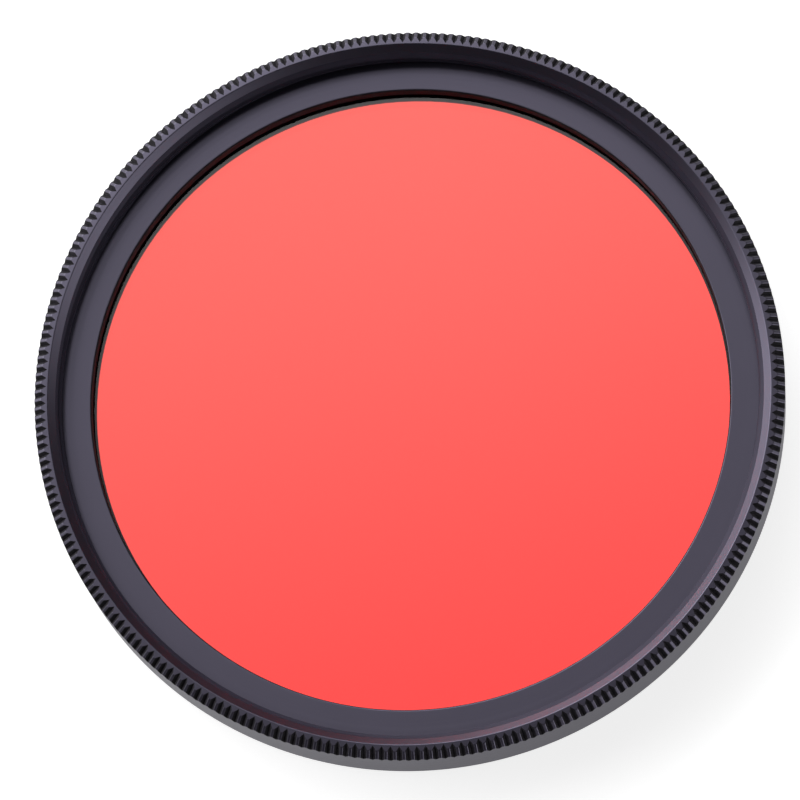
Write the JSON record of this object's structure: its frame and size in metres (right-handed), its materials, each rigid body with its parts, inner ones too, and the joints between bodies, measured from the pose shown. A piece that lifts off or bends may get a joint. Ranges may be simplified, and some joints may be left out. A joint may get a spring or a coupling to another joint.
{
  "type": "screw-in colour filter",
  "caption": "Round screw-in camera lens filter: orange-red glass in a black ring with a knurled front corner, a female front thread and a male rear thread.",
  "frame": {"origin": "on the optical axis, in the plane of the rear end face of the male thread", "axes": "+Z along the optical axis towards the front, or subject, side; X through the two spanner slots of the retaining ring"},
  "size_m": [0.052, 0.052, 0.0065],
  "materials": {
    "black_anodised": "turned aluminium, black anodised to a soft satin",
    "coloured_glass": "polished orange-red glass, a little deeper in tone towards one side"
  },
  "bodies": {
    "root": {"filter_ring": "black_anodised", "filter_glass": "coloured_glass", "retaining_ring": "black_anodised"}
  },
  "joints": []
}
